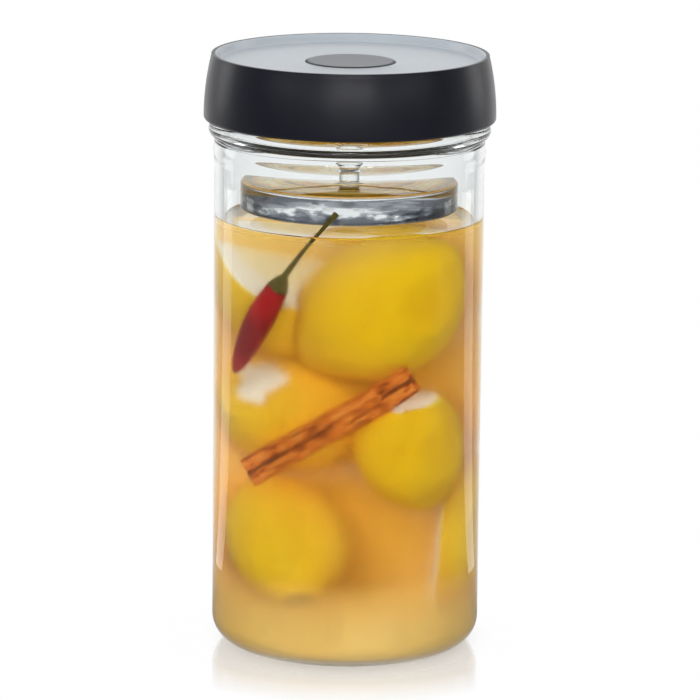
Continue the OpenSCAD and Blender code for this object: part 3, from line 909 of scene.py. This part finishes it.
# Cinnamon: one sheet of bark that curls in from both sides
CINNAMON_AT = Vector((-0.122 * IN_R, -0.640 * IN_R, FLOOR_T + 0.53 * FILL_H))
CINNAMON_TILT = 56
CINNAMON_TURN = -10
CINNAMON_LEN = 67.0
ROLL_R = 2.9
ROLL_GAP = 0.84
ROLL_MID = ROLL_R * ROLL_GAP
ROLL_START = 95
ROLL_SWEEP = 630
ROLL_CURL = 1.9
ROLL_SWELL = 0.10
ROLL_DRIFT = 0.30
ROLL_RAGGED = 0.9
BARK_T = 0.75
BARK_COARSE = 0.32
BARK_FINE = 0.16
SEAM_W = 0.5
FLAKE_T = 0.5
FLAKE_LIFT = 0.35
FLAKE_SPAN = (2.0, 21.0)
FLAKE_TORN = (3.0, 2.4)


def scroll_section(side):
    """A roll's section: a strip that curls inwards for a turn and three quarters."""
    outer = []
    inner = []
    for s in shares(44):
        a = math.radians(ROLL_START - ROLL_SWEEP * s)
        r = ROLL_R - ROLL_CURL * max(0, s - 0.5) * 2
        outer.append((side * (ROLL_MID + r * math.cos(a)), r * math.sin(a)))
        inner.append((side * (ROLL_MID + (r - BARK_T) * math.cos(a)), (r - BARK_T) * math.sin(a)))
    return outer + inner[::-1]


def weathered(p, seed):
    """How far the bark stands out at a point of the quill."""
    coarse = hash_noise(Vector((p.x * 0.35, p.y * 0.35, p.z * 0.16 + seed)))
    fine = hash_noise(Vector((p.x * 0.9, p.y * 0.9, p.z * 0.45 - seed)))
    return BARK_COARSE * coarse + BARK_FINE * fine


def make_roll(side, verts, faces):
    """One roll of the quill, with a wandering middle and ragged ends."""
    section = scroll_section(side)
    middle = side * ROLL_MID
    n = len(section)
    base = len(verts)
    rings = 90
    for i in range(rings + 1):
        z = CINNAMON_LEN * (i / rings - 0.5)
        swell = 1 + ROLL_SWELL * hash_noise(Vector((z * 0.11, side, 3.0)))
        drift = ROLL_DRIFT * hash_noise(Vector((z * 0.07, side, 9.0)))
        for k, (x, y) in enumerate(section):
            out = Vector((x - middle, y, 0)) * swell
            p = Vector((middle + out.x, out.y + drift, z))
            p += out.normalized() * weathered(p, side)
            if i in (0, rings):
                p.z -= math.copysign(ROLL_RAGGED * abs(hash_noise(Vector((k * 0.3, side, z)))), z)
            verts.append(p)
    for i in range(rings):
        a = base + i * n
        for k in range(n):
            m = (k + 1) % n
            faces.append([a + k, a + m, a + n + m, a + n + k])
    for i in (0, rings):
        a = base + i * n
        for k in range(n // 2 - 1):
            faces.append([a + k, a + k + 1, a + n - 2 - k, a + n - 1 - k])


def flake_point(t, s, layer):
    """A point of the flake, across it from -1 to 1 and along it from 0 to 1."""
    reach = ROLL_R * (1 + ROLL_GAP)
    x = t * reach
    past = max(0, abs(x) - ROLL_MID) / (reach - ROLL_MID)
    low, high = FLAKE_SPAN
    torn = FLAKE_TORN[0] * hash_noise(Vector((t * 2.1, 5.0, 0)))
    z = low + torn + (high - low + FLAKE_TORN[1] * hash_noise(Vector((t * 2.7, 8.0, 0))) - torn) * s
    p = Vector((x, -(ROLL_R + FLAKE_LIFT) * math.sqrt(max(0, 1 - past * past)), z))
    p.y -= 0.5 * weathered(p, 4) - layer * FLAKE_T
    return p


def make_flake(verts, faces):
    """A torn outer layer of bark over the seam, on the side away from the jar's middle."""
    rows, cols = 30, 28
    base = len(verts)
    size = (rows + 1) * (cols + 1)
    for layer in (0, 1):
        for i in range(rows + 1):
            for k in range(cols + 1):
                verts.append(flake_point(2 * k / cols - 1, i / rows, layer))

    def at(layer, i, k):
        return base + layer * size + i * (cols + 1) + k

    for i in range(rows):
        for k in range(cols):
            for layer in (0, 1):
                near = [at(layer, i, k), at(layer, i, k + 1)]
                faces.append(near + [at(layer, i + 1, k + 1), at(layer, i + 1, k)])
    for i in range(rows):
        for k in (0, cols):
            faces.append([at(0, i, k), at(0, i + 1, k), at(1, i + 1, k), at(1, i, k)])
    for k in range(cols):
        for i in (0, rows):
            faces.append([at(0, i, k), at(0, i, k + 1), at(1, i, k + 1), at(1, i, k)])


def make_cinnamon():
    lean = turned(CINNAMON_TILT, CINNAMON_TURN)
    verts = []
    faces = []
    for side in (-1, 1):
        make_roll(side, verts, faces)
    rolled = len(verts)
    make_flake(verts, faces)
    placed = [(CINNAMON_AT + lean @ p) * MM for p in verts]
    stick = add_mesh("cinnamon_quill", placed, faces, CINNAMON, sharp=60)
    bark = stick.data.attributes.new("bark", "FLOAT_VECTOR", "POINT")
    bark.data.foreach_set("vector", np.array(verts, np.float32).ravel())
    seam = [math.exp(-(p.x / SEAM_W) ** 2) if i < rolled else 0 for i, p in enumerate(verts)]
    add_value(stick.data, "seam", seam)
    dress(stick, "jar", ["cinnamon_stick"])
    stick.visible_shadow = False


make_cinnamon()


# Lid: the black cover, whose sunk rim is as grey as the plate in it
def cover_outline():
    lean_z = LID_BOT + COVER_EDGE
    lean_h = LID_TOP - RIM_EDGE - lean_z
    rim_out = COVER_R - COVER_LEAN
    rim_in = rim_out - RIM_W
    fall = LID_TOP - PLATE_TOP
    flat_in = rim_out - RIM_FLAT
    return (
        [(COVER_IN, LID_BOT)]
        + arc(COVER_R - COVER_EDGE, lean_z, COVER_EDGE, -90, 0, 10)
        + [(COVER_R - COVER_LEAN * s ** 2, lean_z + lean_h * s) for s in shares(24)[1:]]
        + arc(rim_out - RIM_SHARP, LID_TOP - RIM_SHARP, RIM_SHARP, 15, 90, 6)
        + [(flat_in + (rim_in - flat_in) * s, LID_TOP - fall * ease(s)) for s in shares(12)]
        + [(rim_in, PLATE_Z), (COVER_IN, PLATE_Z)]
    )


def make_cover():
    cover = lathe("cover", cover_outline(), LID_BLACK)
    cover.data.materials.append(LID_RIM)
    for face in cover.data.polygons:
        reach = math.hypot(face.center.x, face.center.y) / MM
        if face.center.z / MM > PLATE_TOP - RIM_SLACK and reach < COVER_R - COVER_LEAN - RIM_DARK:
            face.material_index = 1
    dress(cover, "lid", ["lid_cover"])


make_cover()


# Top plate, with a hole for the button
def plate_outline():
    hole = BUTTON_R + BUTTON_GAP
    edge = PLATE_R + PLATE_SEAM
    return (
        [(hole, PLATE_Z), (edge, PLATE_Z), (edge, PLATE_TOP)]
        + arc(hole + PLATE_EDGE, PLATE_TOP - PLATE_EDGE, PLATE_EDGE, 90, 180, 4)
    )


plate = lathe("plate", plate_outline(), PLATE_GREY)
dress(plate, "lid", ["top_plate"])


# Vent button: its slight dish as shares of the radius and depths
BUTTON_DISH = ((0.7, 0.1), (0.35, 0.25), (0, 0.3))


def button_outline():
    cap_z = BUTTON_TOP - BUTTON_T
    inner = BUTTON_R - BUTTON_WALL
    return (
        [(0, cap_z), (inner, cap_z), (inner, BUTTON_BOT), (BUTTON_R, BUTTON_BOT)]
        + arc(BUTTON_R - RIM_EDGE, BUTTON_TOP - RIM_EDGE, RIM_EDGE, 0, 90, 8)
        + [(BUTTON_R * s, BUTTON_TOP - depth) for s, depth in BUTTON_DISH]
    )


button = lathe("button", button_outline(), BUTTON_GREY)
dress(button, "button", ["vent_button"])


# Return spring: a fixed coil on the lid, though the real one shortens as the button goes down
SPRING_LOW, SPRING_HIGH = box_mm("return_spring")
SPRING_WIRE = 0.9
SPRING_TURNS = 3.0
SPRING_R = SPRING_HIGH[0] - SPRING_WIRE / 2


def make_spring():
    low = SPRING_LOW[2] + SPRING_WIRE / 2
    rise = SPRING_HIGH[2] - SPRING_LOW[2] - SPRING_WIRE
    path = [polar(SPRING_R, 360 * SPRING_TURNS * s, low + rise * s) for s in shares(140)]
    coil = tube("spring_coil", path, [SPRING_WIRE / 2] * len(path), STEEL, 12)
    dress(coil, "lid", ["return_spring"])
    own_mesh(coil)


make_spring()

# Finishes of the solids that stay as they are
for node_name, mat in {
    "sealing_ring": SILICONE, "lid_liner": LINER_GREY, "umbrella_valve": SILICONE, "spring_washer": STEEL,
    "button_stem": STEEL, "stem_seal": SILICONE, "seal_washer": STEEL, "retaining_clip": STEEL,
}.items():
    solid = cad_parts[node_name]
    solid.data.materials.clear()
    solid.data.materials.append(mat)


# Stage, in metres: a white floor that keeps the jar's shadow and a soft mirror image round its foot
FLOOR_SIZE = 1.2
FLOOR_DROP = 0.0002
SHADOW_REACH = (0.030, 0.056)
IMAGE_REACH = (0.060, 0.084)
IMAGE_SHARE = 0.36
FLANK = (0.45, 0.85)
FLANK_DIM = 0.7
FRONT = (-0.16, -0.10)
FRONT_DIM = 0.9


def floor_white(tree, place, reach, seen, mirrored, far):
    """White light, dimmed for the glass at both flanks and for reflections in front of the jar."""
    axes = split_axes(tree, place)
    bearing = calculate(tree, "DIVIDE", calculate(tree, "ABSOLUTE", axes["X"]), reach)
    flank = map_range(tree, bearing, *FLANK, 0.0, FLANK_DIM)
    flank = multiply(tree, flank, maximum(tree, seen, mirrored))
    front = map_range(tree, axes["Y"], *FRONT, FRONT_DIM, 0.0)
    dim = maximum(tree, multiply(tree, flank, far), multiply(tree, front, mirrored))
    white = add_node(tree, "ShaderNodeEmission", {"Color": (1, 1, 1, 1)})
    tree.links.new(map_range(tree, dim, 0.0, 1.0, 1.0, 0.0), white.inputs["Strength"])
    return white.outputs["Emission"]


def mix_shaders(tree, fac, a, b):
    made = add_node(tree, "ShaderNodeMixShader")
    for socket, value in zip(made.inputs, (fac, a, b)):
        tree.links.new(value, socket)
    return made.outputs["Shader"]


def floor_material():
    mat, tree, shader = new_material("floor")
    grain = mottle(tree, 25.0, 2.0, (0.86, 0.86, 0.86), (0.88, 0.88, 0.88))
    tree.links.new(grain, shader.inputs["Base Color"])
    set_shader(shader, Roughness=0.5)
    place = object_place(tree)
    reach = length(tree, place)
    path = add_node(tree, "ShaderNodeLightPath")
    seen = path.outputs["Is Transmission Ray"]
    mirrored = path.outputs["Is Glossy Ray"]
    far = map_range(tree, reach, *SHADOW_REACH, 0.0, 1.0)
    white = floor_white(tree, place, reach, seen, mirrored, far)
    bright = maximum(tree, far, maximum(tree, seen, mirrored))
    plain = mix_shaders(tree, bright, shader.outputs["BSDF"], white)
    image = add_node(tree, "ShaderNodeBsdfGlossy", {"Color": (0.98, 0.98, 0.98, 1), "Roughness": 0.08})
    near = map_range(tree, reach, *IMAGE_REACH, IMAGE_SHARE, 0.0)
    near = multiply(tree, near, path.outputs["Is Camera Ray"])
    mix = mix_shaders(tree, near, plain, image.outputs["BSDF"])
    tree.links.new(mix, tree.nodes["Material Output"].inputs["Surface"])
    return mat


def make_floor():
    signs = ((-1, -1), (1, -1), (1, 1), (-1, 1))
    corners = [(x * FLOOR_SIZE, y * FLOOR_SIZE, -FLOOR_DROP) for x, y in signs]
    floor = add_mesh("floor", corners, [[0, 1, 2, 3]], floor_material())


make_floor()


# Studio: a white backdrop. Glass and gloss see it dimmed at both flanks and on the camera's side
BACKDROP = (-0.4, 0.3)
BACKDROP_DIM = 0.08
GLOSS_FLANK = 0.75
GLASS_FLANK = 0.7


def make_world():
    world = bpy.data.worlds.new("studio")
    bpy.context.scene.world = world
    world.use_nodes = True
    tree = world.node_tree
    place = add_node(tree, "ShaderNodeTexCoord").outputs["Generated"]
    axes = split_axes(tree, place)
    path = add_node(tree, "ShaderNodeLightPath")
    seen = path.outputs["Is Transmission Ray"]
    sheen = map_range(tree, axes["Y"], *BACKDROP, BACKDROP_DIM, 1.0)
    flank = map_range(tree, calculate(tree, "ABSOLUTE", axes["X"]), *FLANK, 0.0, 1.0)
    share = map_range(tree, seen, 0.0, 1.0, GLOSS_FLANK, GLASS_FLANK)
    sides = map_range(tree, multiply(tree, flank, share), 0.0, 1.0, 1.0, 0.0)
    level = add_node(tree, "ShaderNodeMix", {2: 1.0})
    tree.links.new(maximum(tree, path.outputs["Is Glossy Ray"], seen), level.inputs[0])
    tree.links.new(multiply(tree, sheen, sides), level.inputs[3])
    tree.links.new(level.outputs[0], tree.nodes["Background"].inputs["Strength"])
    tree.nodes["Background"].inputs["Color"].default_value = (1, 1, 1, 1)


make_world()

# Lamps: place, aim and size in metres, and power in watts
LAMPS = {
    "key": ((-0.45, -0.9, 1.0), (0, 0, 0.12), (0.7, 0.5), 6.0),
    "strip_left": ((-0.73, 0.38, 0.40), (0, 0, 0.2), (0.26, 0.6), 0.95),
    "strip_right": ((0.73, 0.38, 0.40), (0, 0, 0.2), (0.26, 0.6), 0.95),
    "front": ((0, -2.0, 0.62), (0, 0, 0.2), (1.5, 0.14), 8.0),
    "front_left": ((-1.5, -1.4, 0.62), (0, 0, 0.2), (1.5, 0.14), 2.2),
    "front_right": ((1.5, -1.4, 0.62), (0, 0, 0.2), (1.5, 0.14), 2.2),
    "fill": ((0.25, -1.4, 0.20), (0, 0, 0.1), (1.3, 0.8), 10.5),
}
NOT_IN_GLOSS = ("key", "fill")
NOT_THROUGH_GLASS = ("key", "fill", "strip_left", "strip_right")


def area_light(name, place, aim, size, power):
    data = bpy.data.lights.new(name, "AREA")
    data.shape = "RECTANGLE"
    data.size, data.size_y = size
    data.energy = power
    obj = bpy.data.objects.new(name, data)
    bpy.context.scene.collection.objects.link(obj)
    obj.location = place
    obj.rotation_euler = (Vector(aim) - Vector(place)).to_track_quat("-Z", "Y").to_euler()
    obj.visible_glossy = name not in NOT_IN_GLOSS
    obj.visible_transmission = name not in NOT_THROUGH_GLASS


for lamp_name, lamp in LAMPS.items():
    area_light(lamp_name, *lamp)

# Light panels on the table at both sides, which the glass shows as pale upright bands
PANEL_NEAR = 0.13
PANEL_FAR = 0.95
PANEL_BEARING = 33
PANEL_HALF = 8
PANEL_LIFT = 0.001
PANEL_GLOW = 1.5


def make_panel(name, side):
    mat, tree, shader = new_material(name)
    tree.nodes.remove(shader)
    glow = add_node(tree, "ShaderNodeEmission", {"Color": (1, 1, 1, 1), "Strength": PANEL_GLOW})
    tree.links.new(glow.outputs["Emission"], tree.nodes["Material Output"].inputs["Surface"])
    corners = []
    for r, turn in ((PANEL_NEAR, -1), (PANEL_FAR, -1), (PANEL_FAR, 1), (PANEL_NEAR, 1)):
        bearing = math.radians(PANEL_BEARING + turn * PANEL_HALF)
        corners.append((side * r * math.cos(bearing), r * math.sin(bearing), PANEL_LIFT))
    add_mesh(name, corners, [[0, 1, 2, 3]], mat)


make_panel("panel_left", -1)
make_panel("panel_right", 1)

# Camera at the photograph's viewing angle
CAMERA_AT = (0, -1.600, 0.459)
CAMERA_PITCH = 12.401
CAMERA_YAW = -0.033
CAMERA_ROLL = 0.623
CAMERA_LENS = 233.3
CAMERA_SENSOR = 36
camera_data = bpy.data.cameras.new("camera")
camera_data.lens = CAMERA_LENS
camera_data.sensor_width = CAMERA_SENSOR
camera = bpy.data.objects.new("camera", camera_data)
bpy.context.scene.collection.objects.link(camera)
camera.matrix_world = (
    Matrix.Translation(CAMERA_AT)
    @ Matrix.Rotation(math.radians(CAMERA_YAW), 4, "Z")
    @ Matrix.Rotation(math.radians(90 - CAMERA_PITCH), 4, "X")
    @ Matrix.Rotation(math.radians(CAMERA_ROLL), 4, "Z")
)
bpy.context.scene.camera = camera
bpy.context.scene.view_settings.view_transform = "Standard"
